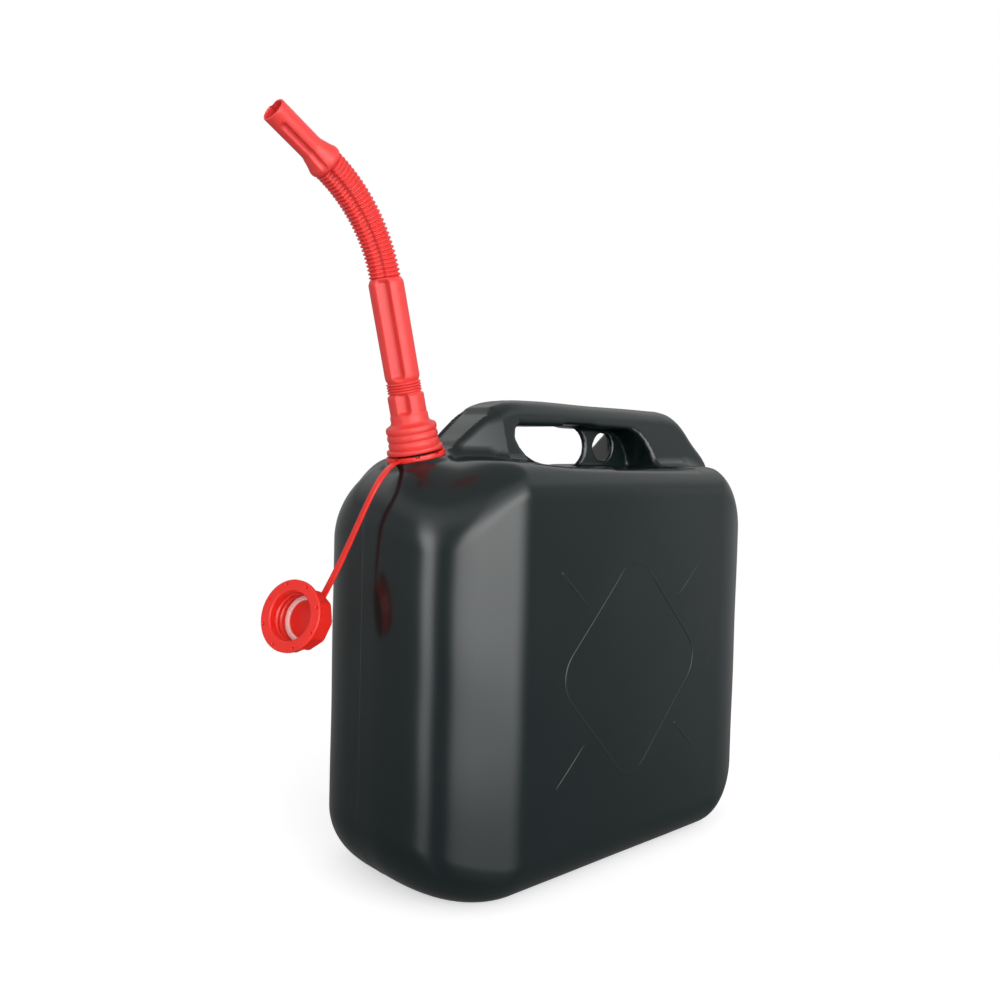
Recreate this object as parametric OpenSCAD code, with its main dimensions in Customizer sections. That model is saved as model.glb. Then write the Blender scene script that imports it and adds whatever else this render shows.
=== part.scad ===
// Plastic jerrycan of about ten litres with a screw-on bellows spout and a tethered cap.
// Millimetres. X runs along the can's width with the neck at -X, Y through the wide faces,
// Z up. The origin is the middle of the can's base.

/* [Can] */
// Width from end to end
can_w = 321; // [260:1:380]
// Depth from wide face to wide face
can_d = 154.6; // [130:0.2:180]
// Height of the can without its handle
can_h = 265; // [220:1:320]
// Radius of the four upright corners
corner_r = 66; // [40:1:72]
// Radius where the top runs into the ends
top_end_r = 43.5; // [30:0.5:55]
// Radius where the top runs into the wide faces
top_side_r = 22; // [12:1:30]
// Radius where the base runs into the ends
foot_end_r = 47; // [30:1:55]
// Radius where the base runs into the wide faces
foot_side_r = 27; // [14:1:32]
// Thickness of the blown wall
wall = 2; // [1.8:0.1:3]
// Depth of the finger trough across the top, under the grip
trough_depth = 5; // [2:0.5:8]

/* [Pressed lines] */
// Height of the lines on the wide faces
line_rise = 0.6; // [0.3:0.1:1.2]
// Width of a line
line_w = 2; // [1.2:0.1:4]
// Half the width of the round-cornered diamond
diamond_half = 64.5; // [45:0.5:75]
// Outer reach of the four arms from the middle of the face, sideways
arm_x = 68; // [58:0.5:80]
// Outer reach of the four arms, upright
arm_z = 64.8; // [50:0.2:75]
// Length of an arm as a share of its way to the middle
arm_share = 0.42; // [0.3:0.01:0.6]

/* [Handle] */
// Height of the grip's top above the can's top
handle_rise = 40; // [32:0.5:55]
// Half the handle's thickness at its top
handle_half = 17; // [13:0.5:22]
// Widening of each side for each millimetre down
handle_draft = 0.3; // [0.1:0.01:0.4]
// Thickness of the grip bar
grip_t = 15.5; // [12:0.5:20]
// Rounding of the grip's upper edges
grip_r = 9; // [4:0.5:12]
// Start of the grip's flat top, from the can's near end
grip_from = 97.5; // [90:0.5:110]
// End of the grip's flat top, from the can's far end
grip_to = 60.5; // [55:0.5:75]
// Thickness of the pinched web in the handle
web_t = 4; // [3:0.2:6]
// Edge of the web in the finger opening, before the grip's end
web_from = 71.5; // [60:0.5:90]
// Centre of the round hole in the web, before the grip's end
web_hole_from = 51; // [46:0.5:56]
// Diameter of the round hole in the web
web_hole_d = 20.8; // [10:0.2:22]

/* [Neck] */
// Distance of the neck's axis from the can's near end
neck_inset = 38.2; // [33:0.1:45]
// Height of the tether ring's middle on the neck's axis, above the can's top
neck_rise = 1.5; // [0.5:0.1:4]
// Lean of the neck towards the near end
neck_tilt = 14; // [0:1:20]
// Diameter of the neck's tube
neck_d = 26.4; // [22:0.2:30]
// Diameter of the pouring bore
bore_d = 21.6; // [16:0.2:24]
// Length of the neck above the tether ring
neck_l = 16.5; // [13:0.5:17]
// Running gap between neck, socket and ring
fit_gap = 0.4; // [0.3:0.1:0.6]
// Height of the thread on the neck
thread_h = 0.6; // [0.4:0.1:0.8]

/* [Spout] */
// Diameter over the socket's thread rounds
socket_d = 31.4; // [30.6:0.2:36]
// Diameter of the socket's flange
flange_d = 34.8; // [32:0.2:40]
// Distance from one socket round to the next
round_pitch = 4.6; // [3.6:0.1:5.2]
// Diameter of the plain collar above the socket
collar_d = 23.4; // [22:0.2:26]
// Diameter of the fluted tube
tube_d = 21.2; // [18:0.2:23]
// Wall of the spout
spout_wall = 1.3; // [0.9:0.1:1.8]
// Diameter over the bellows ridges
bellows_d = 18.9; // [16:0.1:20.4]
// Depth of the bellows folds
fold_depth = 1.3; // [0.8:0.1:1.6]
// Length along the bent bellows
bellows_l = 73; // [50:1:90]
// Number of folds in the long bellows
fold_count = 29; // [20:1:32]
// Bend of the bellows at rest
bend = 47.5; // [10:0.5:85]
// Turn of the bend's plane about the neck, from the can's mid-plane
bend_turn = 7; // [-20:1:20]
// Turn of the flutes about the spout
flute_turn = 40.5; // [0:0.5:90]
// Diameter of the pouring tip
tip_d = 14.4; // [12:0.2:17]
// Length of the pouring tip with its flare
tip_l = 42; // [35:0.5:60]

/* [Cap and tether] */
// Outer diameter of the tether's ring
ring_d = 36.6; // [35:0.2:42]
// Height of the tether's ring
ring_h = 3.2; // [2.4:0.1:4]
// Width of the strap
strap_w = 3.4; // [2.6:0.1:6]
// Thickness of the strap
strap_t = 1.6; // [1.2:0.1:2.4]
// Turn about the neck at which the strap leaves its ring, from the near end
strap_leave = 15; // [0:1:40]
// Reach of the strap's bow over the shoulder
strap_bow = 48.3; // [35:0.1:60]
// Reach of the strap's straight run above its eye
strap_pull = 55.2; // [40:0.1:70]
// Diameter of the cap's flange
cap_flange_d = 44.5; // [40:0.5:50]
// Diameter of the cap's flat-sided skirt
cap_d = 35; // [33.6:0.2:38]
// Height of the cap
cap_h = 17; // [14:0.5:20]
// Thickness of the cap's end
cap_end_t = 2; // [1.6:0.1:3]
// Number of grip flats
cap_flats = 10; // [8:1:12]
// Diameter of the button that the tether's eye turns on
button_d = 5.6; // [4.5:0.1:7]
// Thickness of the seal in the cap
seal_t = 1.6; // [1:0.1:2.2]

/* [Hidden] */
$fn = 64;
arc_steps = 8; // steps in a quarter of an upright corner
half_w = can_w / 2;
half_d = can_d / 2;
neck_x = neck_inset - half_w;
grip_x0 = grip_from - half_w;
grip_x1 = half_w - grip_to;
web_x = grip_x1 - web_from;
web_hole_x = grip_x1 - web_hole_from;
grip_top = can_h + handle_rise;
opening_top = grip_top - grip_t;
opening_floor = can_h - trough_depth;
neck_z = can_h + neck_rise;
neck_r = neck_d / 2;
thread_r = neck_r + thread_h;
socket_ir = thread_r + fit_gap;
ring_ir = thread_r + fit_gap;
flange_z = ring_h / 2 + 1.2;
flange_h = 3;
round_h = 0.8;
socket_top = flange_z + flange_h + 3 * round_pitch - 0.4;
collar_top = socket_top + 9.5;
short_z = 36.5;
short_folds = 4;
tube_z = short_z + 10;
tube_top = 109 - (bellows_l - 71) / 2;
bellows_r = bellows_l / (bend * PI / 180);
tip_flute_z = 13.5;
tip_flute_r = 2.6;
green = [0.17, 0.2, 0.2];
spout_red = [0.95, 0.3, 0.27];
cap_red = [0.88, 0.14, 0.1];
seal_pink = [0.96, 0.78, 0.76];

// Carries its children to the leaning neck, whose axis is the children's Z.
module on_neck() {
    translate([neck_x, 0, neck_z]) rotate([0, -neck_tilt, 0]) children();
}

// Carries its children to the spout's own frame, in which the bend leans towards -X.
module on_spout() {
    on_neck() rotate([0, 0, bend_turn]) children();
}

// A closed skin over rings of points that all have the same count.
function skin_faces(rings, n) = concat(
    [[for (i = [0:n - 1]) i]],
    [for (k = [0:rings - 2], i = [0:n - 1], h = [0, 1])
        let (a = k * n + i, b = k * n + (i + 1) % n)
        h == 0 ? [a, b + n, b] : [a, a + n, b + n]],
    [[for (i = [n - 1:-1:0]) (rings - 1) * n + i]]);

module skin(rings) {
    n = len(rings[0]);
    polyhedron(points = [for (r = rings) for (p = r) p], faces = skin_faces(len(rings), n));
}

// A level slice of the can: a rectangle of half sizes a and b with corners of radius r.
function slice(a, b, r, z) = [
    for (q = [0:3], i = [0:arc_steps])
        let (t = q * 90 + i * 90 / arc_steps,
             sx = (q == 0 || q == 3) ? 1 : -1, sy = q < 2 ? 1 : -1)
        [sx * (a - r) + r * cos(t), sy * (b - r) + r * sin(t), z]];

// How far an edge round of radius r has come in at height up from its start.
function come_in(r, up) = up <= 0 ? 0 : r - sqrt(max(0, r * r - up * up));

// The can's blown form, drawn in by inset on every side.
module can_form(inset) {
    top = can_h - inset;
    low = [for (t = [90:-12:6]) foot_end_r - foot_end_r * sin(t)];
    high = [for (t = [6:12:90]) can_h - top_end_r + top_end_r * sin(t)];
    levels = concat(low, [foot_end_r], [can_h - top_end_r], high);
    skin([for (z = levels) let (
        ex = come_in(foot_end_r, foot_end_r - z) + come_in(top_end_r, z - can_h + top_end_r),
        ey = come_in(foot_side_r, foot_side_r - z) + come_in(top_side_r, z - can_h + top_side_r),
        r = corner_r - (z > half_d ? min(ex, ey) : (ex + ey) / 2) - inset)
        slice(half_w - ex - inset, half_d - ey - inset, r,
              inset + z * (top - inset) / can_h)]);
}

// The handle's ridge line: the neck slope, the long flat top and the slope down to the far end.
function ridge(x) = lookup(x, [
    [grip_x0 - 44, can_h + 1], [grip_x0 - 37, can_h + 12.5], [grip_x0 - 32, can_h + 16.5],
    [grip_x0 - 24, can_h + 23], [grip_x0 - 16, can_h + 29], [grip_x0 - 8, can_h + 34.5],
    [grip_x0, grip_top - 2.5], [grip_x0 + 9, grip_top - 0.8], [grip_x0 + 24, grip_top],
    [grip_x1 - 12, grip_top], [grip_x1, grip_top - 1], [grip_x1 + 10, grip_top - 3.6],
    [grip_x1 + 19, grip_top - 9], [grip_x1 + 31, grip_top - 23], [grip_x1 + 38, grip_top - 30.5],
    [grip_x1 + 44, grip_top - 38], [grip_x1 + 49, grip_top - 46], [grip_x1 + 52.5, grip_top - 53.5],
    [grip_x1 + 55, grip_top - 61], [grip_x1 + 56.5, grip_top - 69], [grip_x1 + 57.5, grip_top - 80]]);

// Height at which the handle's foot fillet starts, which follows the can's far shoulder down.
function foot_z(x) = can_h - lookup(x, [[grip_x1 + 20, 0], [grip_x1 + 30, 2], [grip_x1 + 40, 7],
    [grip_x1 + 50, 19], [grip_x1 + 58, 35]]);

// Share by which the handle narrows at its two feet.
function pinch(x) = lookup(x, [[grip_x0 - 44, 0.55], [grip_x0 - 30, 0.9], [grip_x0 - 20, 1],
    [grip_x1 + 40, 1], [grip_x1 + 50, 0.8], [grip_x1 + 57.5, 0.5]]);

// Half the handle's thickness at a height, with the fillet at its foot.
function half_at(x, z, inset) = pinch(x) * (handle_half + (grip_top - z) * handle_draft
    + min(12, pow(max(0, foot_z(x) + 7 - z), 2) * 0.05)) - inset;

// One upright cross-section of the handle, with its upper edges rounded.
function handle_slice(x, inset, floor_z) = let (
    nose = min(1, max(0, (grip_x0 - 10 - x) / 24)),
    top = max(ridge(x) - inset, floor_z + 3),
    rz = min(grip_r + nose * 5, (top - floor_z) / 2),
    ry = min(grip_r + nose * 8, half_at(x, top - rz, inset) * 0.9),
    side = [for (f = [0, 0.3, 0.5, 0.65, 0.78, 0.9, 1])
        let (z = floor_z + f * (top - rz - floor_z)) [half_at(x, z, inset), z]],
    cap = [for (t = [18:18:90])
        [half_at(x, top - rz, inset) - ry + ry * cos(t), top - rz + rz * sin(t)]],
    half = concat(side, cap))
    concat([for (p = half) [x, p[0], p[1]]],
           [for (i = [len(half) - 1:-1:0]) [x, -half[i][0], half[i][1]]]);

module handle_form(inset, floor_z) {
    x0 = grip_x0 - 44 + 3 * inset;
    x1 = grip_x1 + 57.5 - inset;
    cuts = concat([x0], [for (d = [-37, -32, -28, -24, -20, -16, -12, -8, -4, 0, 5, 12, 24]) grip_x0 + d],
        [for (d = [-60, -30, -12, -6, 0, 5, 10, 15, 19, 25, 31, 38, 44, 49, 52.5, 55]) grip_x1 + d], [x1]);
    skin([for (x = cuts) handle_slice(x, inset, floor_z)]);
}

// Stands a flat XZ outline up as a prism from y0 to y1.
module upright(y0, y1) {
    translate([0, y1, 0]) rotate([90, 0, 0]) linear_extrude(y1 - y0) children();
}

// Outline of the finger opening that goes right through; grow widens it for the hollow's wall.
module opening_outline(grow) {
    left = grip_x0 + 2 - grow;
    top = opening_top + grow;
    low = opening_floor - grow;
    mid = (opening_top + opening_floor) / 2 + 1;
    r = (opening_top - opening_floor) / 2 + 1;
    union() {
        polygon([[left + 3, top], [left, top - 4], [left - 1, top - 10], [left + 2.5, low + 11],
            [left + 9, low + 4], [left + 17, low + 1.2], [left + 29, low],
            [web_x - r, low], [web_x - r, top]]);
        intersection() {
            translate([web_x - r + grow, mid]) circle(r = r);
            translate([web_x - 2 * r, low]) square([4 * r, top - low]);
        }
    }
}

// Outline of the pocket in front of the web.
module near_pocket_outline(grow) {
    x = web_hole_x + grow;
    top = opening_top + grow;
    low = opening_floor - grow;
    polygon([[web_x - 38, low], [x + 29, low], [x + 28.5, low + 6], [x + 26, low + 13], [x + 22, low + 20],
        [x + 16, top - 4], [x + 9, top - 0.8], [x + 3, top], [web_x - 38, top]]);
}

// Outline of the pocket behind the web, whose far wall slopes.
module far_pocket_outline(grow) {
    x = web_hole_x + grow;
    top = opening_top + grow;
    low = opening_floor - grow;
    polygon([[web_x - 38, low], [x + 4, low], [x + 15, (top + low) / 2], [x + 28, top], [web_x - 38, top]]);
}

// The shallow trough across the can's top under the grip.
module trough_outline(drop) {
    b = opening_floor - drop;
    polygon([[grip_x0 - 15, can_h + 30], [grip_x0 - 15, can_h + 0.4 - drop], [grip_x0 - 3, b + 2.2],
        [grip_x0 + 11, b + 0.6], [grip_x0 + 33, b], [grip_x1 - 95, b], [grip_x1 - 60, b + 0.9],
        [grip_x1 - 25, b + 2.6], [grip_x1 + 8, can_h + 0.4 - drop], [grip_x1 + 8, can_h + 30]]);
}

// The pressed lines of one wide face: four arms and a round-cornered diamond.
module face_lines() {
    for (sx = [-1, 1], sz = [-1, 1])
        polygon([for (p = [[1, -1], [1, 1], [1 - arm_share, 1], [1 - arm_share, -1]])
            [sx * (arm_x * p[0] - p[1] * line_w * 0.36), sz * (arm_z * p[0] + p[1] * line_w * 0.36)]]);
    difference() {
        diamond(diamond_half);
        diamond(diamond_half - line_w);
    }
}

// A diamond with round corners, as arcs joined by straight sides.
module diamond(half) {
    r = half * 0.3;
    c = half - r;
    polygon([for (q = [0:3], i = [0:6]) let (t = q * 90 - 45 + i * 15)
        [c * cos(q * 90) + r * cos(t), (c * sin(q * 90) + r * sin(t)) * 1.08]]);
}

module pressed_lines() {
    mid = can_h / 2;
    for (s = [-1, 1])
        translate([0, s * (half_d - 0.6), mid]) rotate([90, 0, 0])
            translate([0, 0, s > 0 ? -0.6 - line_rise : 0]) linear_extrude(0.6 + line_rise) face_lines();
}

// Hollow of the can: the body's and the handle's, which run into one another.
module hollow() {
    difference() {
        union() {
            can_form(wall);
            handle_form(wall, can_h - 30);
        }
        upright(-half_d, half_d) trough_outline(wall);
        upright(-60, 60) opening_outline(wall);
        upright(-60, web_t) near_pocket_outline(wall);
        upright(-web_t, 60) far_pocket_outline(wall);
    }
}

module can_body() {
    color(green) difference() {
        union() {
            difference() {
                union() {
                    difference() {
                        union() {
                            can_form(0);
                            pressed_lines();
                        }
                        upright(-half_d - 5, half_d + 5) trough_outline(0);
                    }
                    handle_form(0, can_h - 32);
                }
                on_neck() translate([0, 0, -ring_h / 2 - 0.7]) cylinder(r = ring_d / 2 + 0.8, h = 14);
            }
            on_neck() {
                translate([0, 0, -24]) cylinder(r = ring_d / 2 + 1.5, h = 24 - ring_h / 2 - 0.6);
                translate([0, 0, -24]) cylinder(r = neck_r, h = 24 + neck_l);
                translate([0, 0, -ring_h]) cylinder(r = thread_r, h = ring_h * 1.5 + 0.6);
            }
        }
        hollow();
        on_neck() translate([0, 0, -30]) cylinder(r = bore_d / 2, h = 60);
        upright(-60, 60) opening_outline(0);
        upright(-60, -web_t / 2) near_pocket_outline(0);
        upright(web_t / 2, 60) far_pocket_outline(0);
        upright(-web_t, web_t) translate([web_hole_x, opening_floor + 16.5]) circle(d = web_hole_d);
    }
}

// Cross-section of the fluted tube: a round with a flute on two sides.
module fluted(d, deep) {
    difference() {
        circle(d = d);
        for (s = [-1, 1]) translate([s * (d / 2 + deep * 0.35), 0]) circle(r = deep * 1.35);
    }
}

// Half outline of the spout's outside or bore, as [radius, height] pairs.
function socket_outline() = concat(
    [[0, flange_z], [flange_d / 2, flange_z], [flange_d / 2, flange_z + flange_h - 0.8],
     [flange_d / 2 - 0.8, flange_z + flange_h], [socket_d / 2 - round_h, flange_z + flange_h]],
    [for (k = [0:2], t = [-75:30:75])
        [socket_d / 2 - round_h + round_h * cos(t),
         flange_z + flange_h + (k + 0.5) * round_pitch - 0.2 + round_pitch * 0.47 * sin(t)]],
    [[collar_d / 2, socket_top], [collar_d / 2, collar_top], [0, collar_top]]);

function folds_outline(z0, count, pitch) = concat([[0, z0]],
    [for (k = [0:count - 1], s = [0, 0.5])
        [bellows_d / 2 + 0.5 - (s == 0 ? fold_depth : 0), z0 + (k + s) * pitch]],
    [[bellows_d / 2 + 0.5 - fold_depth, z0 + count * pitch], [0, z0 + count * pitch]]);

module spout_base() {
    bore = bellows_d / 2 - fold_depth - spout_wall;
    color(spout_red) on_spout() difference() {
        union() {
            rotate_extrude() polygon(socket_outline());
            rotate([0, 0, 180 + flute_turn]) {
                translate([0, 0, collar_top - 1]) linear_extrude(short_z - collar_top + 1) fluted(collar_d - 1, 2.6);
                translate([0, 0, tube_z]) linear_extrude(tube_top - tube_z) fluted(tube_d, 2.6);
            }
            rotate_extrude() polygon(folds_outline(short_z - 0.2, short_folds, (tube_z - short_z + 0.4) / short_folds));
            translate([0, 0, collar_top - 1]) cylinder(r = tube_d / 2 - 2.7, h = tube_z - collar_top + 2);
        }
        translate([0, 0, flange_z - 1]) cylinder(r = socket_ir, h = neck_l + 1.6 - flange_z);
        cylinder(r = bore, h = tube_top + 5);
    }
}

// A ring of the bellows: angle along the bend, radius.
function bend_ring(part, r, n) = [for (i = [0:n - 1]) let (
    t = i * 360 / n, a = part * bend, q = bellows_r - bellows_r * cos(a))
    [-(q + r * cos(t) * cos(a)), r * sin(t), bellows_r * sin(a) - r * cos(t) * sin(a)]];

// Points of the folded tube wall: up the outside and back down the bore.
module folded_tube() {
    n = 32;
    steps = 2 * fold_count;
    outer = [for (k = [0:steps]) bend_ring(k / steps, bellows_d / 2 - (k % 2 == 0 ? fold_depth : 0), n)];
    inner = [for (k = [steps:-1:0]) bend_ring(k / steps,
        bellows_d / 2 - spout_wall - (k % 2 == 0 ? fold_depth : 0), n)];
    rings = concat(outer, inner);
    m = len(rings);
    polyhedron(points = [for (r = rings) for (p = r) p],
        faces = [for (k = [0:m - 1], i = [0:n - 1], h = [0, 1])
            let (k2 = (k + 1) % m, a = k * n + i, b = k * n + (i + 1) % n,
                 c = k2 * n + (i + 1) % n, d = k2 * n + i)
            h == 0 ? [a, b, c] : [a, c, d]]);
}

module spout_bellows() {
    color(spout_red) on_spout() translate([0, 0, tube_top]) folded_tube();
}

// Carries its children to the outer end of the bent bellows.
module on_bend() {
    on_spout() translate([bellows_r * cos(bend) - bellows_r, 0, tube_top + bellows_r * sin(bend)])
        rotate([0, -bend, 0]) children();
}

module spout_tip() {
    r0 = bellows_d / 2 + 0.7;
    r1 = tip_d / 2;
    w = spout_wall;
    root = bellows_d / 2 - fold_depth;
    color(spout_red) on_bend() difference() {
        rotate_extrude() polygon([[0, 0], [root, 0], [r0, 1.6], [r0, 3.6], [r0 - 1.2, 6.2], [r1 + 1, 10.6],
            [r1, tip_flute_z], [r1, tip_l], [0, tip_l]]);
        difference() {
            rotate_extrude() polygon([[0, -1], [root - w, -1], [root - w, 2], [r0 - w - 1.2, 5.4],
                [r1 - w + 0.4, 10.6], [r1 - w, tip_flute_z], [r1 - w, tip_l + 1], [0, tip_l + 1]]);
            tip_flutes(tip_flute_r + w);
        }
        tip_flutes(tip_flute_r);
    }
}

// The two flutes of the tip, as rods of radius r.
module tip_flutes(r) {
    for (s = [0, 180]) rotate([0, 0, 180 + flute_turn + s])
        translate([tip_d / 2 + tip_flute_r - 1.2, 0, tip_flute_z - 1.5]) cylinder(r = r, h = tip_l);
}

// The cap hangs open end outward, with its axis as found in the photo.
cap_at = [-half_w - 27.7, 14.3, can_h - 96.5];
cap_lean = 74.2;
cap_swing = 19.1;

module on_cap() {
    translate(cap_at) rotate([0, 0, cap_swing]) rotate([0, -cap_lean, 0]) children();
}

eye_gap = 0.35;
button_l = strap_t + 2 * eye_gap;
thread_in_r = socket_ir + 0.2;

module cap() {
    color(cap_red) on_cap() difference() {
        union() {
            cylinder(r = cap_d / 2 / cos(180 / cap_flats), h = cap_h - 1, $fn = cap_flats);
            cylinder(r = cap_d / 2 - 0.2, h = cap_h);
            translate([0, 0, cap_h - 2.2]) cylinder(d = cap_flange_d, h = 2.2);
            translate([-3.5, cap_flange_d / 2 - 7, cap_h - 6]) cube([7, 5.6, 5]);
            translate([0, 0, -button_l]) cylinder(d = button_d, h = button_l + 0.5);
            translate([0, 0, -button_l - 1.2]) cylinder(d = button_d + 3, h = 1.2);
        }
        translate([0, 0, cap_end_t]) cylinder(r = thread_in_r, h = cap_h);
        for (k = [0:7]) rotate([0, 0, k * 45 + 20])
            translate([cap_d / 2 + 2.4, 0, cap_h - 4]) cylinder(d = 1.2, h = 6, $fn = 16);
    }
}

module cap_seal() {
    color(seal_pink) on_cap() translate([0, 0, cap_end_t]) difference() {
        cylinder(r = thread_in_r - 0.1, h = seal_t);
        translate([0, 0, -1]) cylinder(r = thread_in_r - 3.2, h = seal_t + 2);
    }
}

// The strap is one curve: it leaves the ring outward, bends over the shoulder and ends on the eye.
open_way = [-sin(cap_lean) * cos(cap_swing), -sin(cap_lean) * sin(cap_swing), cos(cap_lean)];
ring_way = [-cos(strap_leave) * cos(neck_tilt), -sin(strap_leave), -cos(strap_leave) * sin(neck_tilt)];
strap_from = [neck_x, 0, neck_z] + ring_way * (ring_d / 2 - 1.2);
strap_up = [0.403, -0.277, 0.873];
strap_to = cap_at - open_way * (eye_gap + strap_t / 2) + strap_up * (button_d / 2 + eye_gap + 1);
strap_ends = [strap_from, strap_from + strap_bow * [-0.814, -0.572, -0.096], strap_to + strap_pull * strap_up, strap_to];

function on_strap(t) = let (u = 1 - t, p = strap_ends)
    u * u * u * p[0] + 3 * u * u * t * p[1] + 3 * u * t * t * p[2] + t * t * t * p[3];
function unit(v) = v / norm(v);

// One rounded-oblong ring of the strap, whose flat side turns from the ring's plane to the cap's.
function strap_ring(t) = let (
    along = unit(on_strap(min(1, t + 0.01)) - on_strap(max(0, t - 0.01))),
    lean = (1 - t) * [-sin(neck_tilt), 0, cos(neck_tilt)] + t * open_way,
    wide = unit(cross(lean, along)), thick = cross(along, wide))
    [for (q = [[1, -0.5], [1, 0.5], [0.8, 1], [-0.8, 1], [-1, 0.5], [-1, -0.5], [-0.8, -1], [0.8, -1]])
        on_strap(t) + wide * q[0] * strap_w / 2 + thick * q[1] * strap_t / 2];

module tether() {
    color(cap_red) {
        on_neck() difference() {
            translate([0, 0, -ring_h / 2]) cylinder(d = ring_d, h = ring_h);
            translate([0, 0, -ring_h]) cylinder(r = ring_ir, h = 2 * ring_h);
            for (k = [0:7]) rotate([0, 0, k * 45 + 10]) translate([ring_ir - 1, -1.2, ring_h / 2 - 0.9])
                cube([ring_d, 2.4, ring_h]);
        }
        skin([for (k = [0:28]) strap_ring(k / 28)]);
        on_cap() translate([0, 0, -eye_gap - strap_t]) difference() {
            cylinder(r = button_d / 2 + eye_gap + 2.4, h = strap_t);
            translate([0, 0, -1]) cylinder(r = button_d / 2 + eye_gap, h = strap_t + 2);
        }
    }
}

can_body();
spout_base();
spout_bellows();
spout_tip();
tether();
cap();
cap_seal();
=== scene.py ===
"""Plastic jerrycan with a red bellows spout and a hanging cap, dressed on the CAD frame.

Every surface is worked out here in millimetres and stored in metres. The can is the zero level of a
field: a rounded body and a handle fin, joined with soft fillets, less the finger opening, the two
pockets and the hollow. The spout, ring, eye, cap and seal are radii over a grid of turn and length,
carried along a straight axis or along the bend, and the strap is a section carried along a cubic.
"""
import math

import bpy
import numpy as np
from mathutils import Matrix


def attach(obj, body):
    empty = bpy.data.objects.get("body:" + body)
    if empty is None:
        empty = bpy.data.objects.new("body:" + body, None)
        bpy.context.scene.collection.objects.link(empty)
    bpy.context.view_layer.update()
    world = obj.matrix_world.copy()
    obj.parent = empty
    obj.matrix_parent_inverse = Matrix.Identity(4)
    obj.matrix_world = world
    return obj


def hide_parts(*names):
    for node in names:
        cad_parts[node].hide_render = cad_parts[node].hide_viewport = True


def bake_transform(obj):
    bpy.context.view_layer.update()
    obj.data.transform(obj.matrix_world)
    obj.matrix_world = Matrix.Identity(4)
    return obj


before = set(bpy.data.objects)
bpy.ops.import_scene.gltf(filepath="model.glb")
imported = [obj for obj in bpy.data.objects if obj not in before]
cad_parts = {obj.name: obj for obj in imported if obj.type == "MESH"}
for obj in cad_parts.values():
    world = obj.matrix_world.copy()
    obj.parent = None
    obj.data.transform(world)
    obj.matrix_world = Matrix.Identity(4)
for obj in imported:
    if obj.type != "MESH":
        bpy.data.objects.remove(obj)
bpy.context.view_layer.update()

# The can: one blow moulding in dark green-grey polyethylene, two halves of a mould closing on the
# mid-plane. The handle is part of it, pinched to a web next to its finger opening, and the neck
# leans out of the near shoulder.

MM = 0.001
WIDTH, DEPTH, HEIGHT = 321.0, 154.6, 265.0
CORNER = 66.0                        # upright corners
TOP_END, TOP_SIDE = 43.5, 22.0       # where the top runs into the ends and the wide faces
FOOT_END, FOOT_SIDE = 47.0, 27.0     # the same at the base
TOP_BULGE, FOOT_BULGE = 12.0, 13.0   # what those radii gain half-way round a corner
CAN_WALL = 2.2
HOLLOW_AT, HOLLOW_R = (-95, 214), 46    # the stretch of the hollow that the neck lets one look into
GRIP_TOP = 305.0
GRIP_HALF, GRIP_DRAFT = 17, 0.3      # half the handle's thickness at its top, and its growth a mm down
GRIP_SIDE = 0.958                    # cosine of that draft
FIN_AT, FIN_SHARE = [-107, -95, -85, -70, 140, 150, 157], [0.5, 0.62, 0.74, 1, 1, 0.8, 0.5]
PANEL_LOW, PANEL_HIGH, PANEL_DEEP = -105.5, -71.5, 2.0
NECK_AT = np.array([-122.3, 0.0, 266.5])
NECK_TILT = math.radians(14)
NECK_WAY = np.array([-math.sin(NECK_TILT), 0, math.cos(NECK_TILT)])
NECK_R, NECK_BORE, NECK_TOP, NECK_ROOT = 13.2, 10.8, 16.5, -12
THREAD_PITCH, THREAD_RISE = 3.0, 0.6
BOSS_R, BOSS_TOP, RING_ROOM = 19.8, -2.2, 19.4    # the neck's foot, and the space the tether's ring has
CELL = 2.1

# Outlines in the side view, as (x, z).
OPENING_FLOOR, POCKET_TOP = 262.3, 289.5
RIDGE = [(-107, 266), (-100, 277.5), (-95, 281.5), (-87, 288), (-79, 294), (-71, 299.5), (-63, 302.5),
         (-54, 304.2), (-39, 305), (24, 305), (90, 305), (102, 304.8), (112, 302.8), (121, 297.5),
         (133.5, 282), (141, 274), (147, 266), (152, 258), (155, 251), (157, 243), (158.5, 230)]
FIN_ROOT = [(154, 205), (-98, 205), (-106, 250)]
OPENING = [(-54.5, 287.6), (-57.6, 285.2), (-59.2, 279.5), (-56.8, 274.4), (-52.5, 269.4), (-46.5, 265.4),
           (-38.5, 263.1), (-30, OPENING_FLOOR), (-10, OPENING_FLOOR)]
OPENING += [(12.75 + 15.75 * math.sin(a), 275.8 - 13.5 * math.cos(a)) for a in np.linspace(0, math.pi, 13)]
OPENING += [(-10, 288.9)]
NEAR_POCKET = [(-10, OPENING_FLOOR), (77.2, OPENING_FLOOR), (76.8, 267), (75, 273), (71, 280), (65.5, 285.3),
               (58.5, 288.6), (52, POCKET_TOP), (-10, POCKET_TOP)]
FAR_POCKET = [(-10, OPENING_FLOOR), (55, OPENING_FLOOR), (64, 274.8), (76, 288), (74, POCKET_TOP),
              (-10, POCKET_TOP)]
TROUGH = [(-84, 300), (-80, 266), (-66, 264), (-52, 262.8), (-30, OPENING_FLOOR), (5, OPENING_FLOOR),
          (40, 262.9), (75, 264.2), (112, 266), (116, 300)]
WEB_HOLE = (49.0, 276.5, 10.4)
WEB_HALF = 2.0

# The lines pressed into both wide faces: a diamond with round corners and four arms.
FACE_MIDDLE = 132.5
DIAMOND_REACH, DIAMOND_R, DIAMOND_TALL = 44.8, 19, 1.08
ARM_X, ARM_Z, ARM_FROM = 70, 66.5, 0.65
LINE_HALF, SEAM_HALF, SEAM_RISE = 0.7, 0.3, 0.16


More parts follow.
